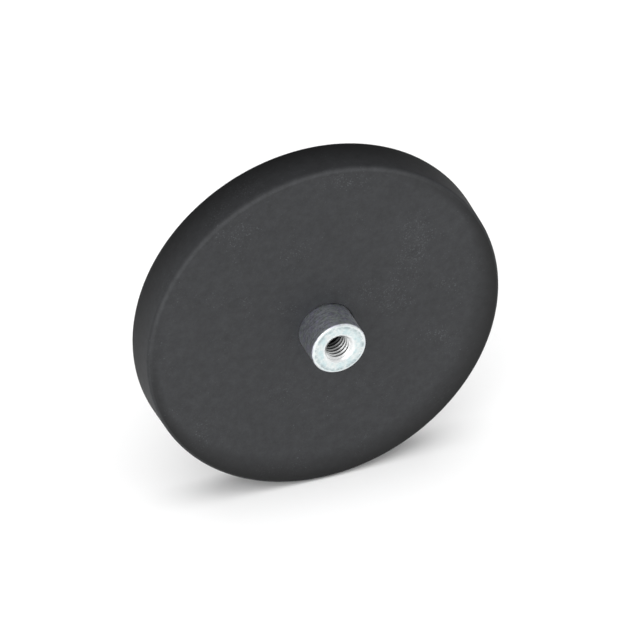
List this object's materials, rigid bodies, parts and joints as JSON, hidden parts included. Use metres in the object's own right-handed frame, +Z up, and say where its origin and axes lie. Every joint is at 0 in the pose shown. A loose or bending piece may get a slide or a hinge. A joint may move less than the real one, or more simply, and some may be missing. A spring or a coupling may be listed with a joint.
{
  "type": "magnet fishing magnet",
  "caption": "Rubber-jacketed disc magnet with a raised, internally threaded steel bush for an eyebolt or stud, to be lowered on a rope for retrieval.",
  "frame": {"origin": "centre of the flat gripping face, on the magnet's axis", "axes": "+Y out of the gripping face, -Y along the threaded bush, +Z up: the disc stands on its rim"},
  "size_m": [0.066, 0.015, 0.066],
  "materials": {
    "rubber": "fine matt moulded",
    "plate_steel": "zinc plated, matt",
    "bush_steel": "turned and zinc plated, satin",
    "magnet_nickel": "nickel plated, satin"
  },
  "bodies": {
    "root": {"rubber_jacket": "rubber", "yoke_plate": "plate_steel", "threaded_bush": "bush_steel", "magnet_outer_01": "magnet_nickel", "magnet_outer_02": "magnet_nickel", "magnet_outer_03": "magnet_nickel", "magnet_outer_04": "magnet_nickel", "magnet_outer_05": "magnet_nickel", "magnet_outer_06": "magnet_nickel", "magnet_outer_07": "magnet_nickel", "magnet_outer_08": "magnet_nickel", "magnet_outer_09": "magnet_nickel", "magnet_outer_10": "magnet_nickel", "magnet_outer_11": "magnet_nickel", "magnet_outer_12": "magnet_nickel", "magnet_inner_01": "magnet_nickel", "magnet_inner_02": "magnet_nickel", "magnet_inner_03": "magnet_nickel", "magnet_inner_04": "magnet_nickel", "magnet_inner_05": "magnet_nickel", "magnet_inner_06": "magnet_nickel"}
  },
  "joints": []
}
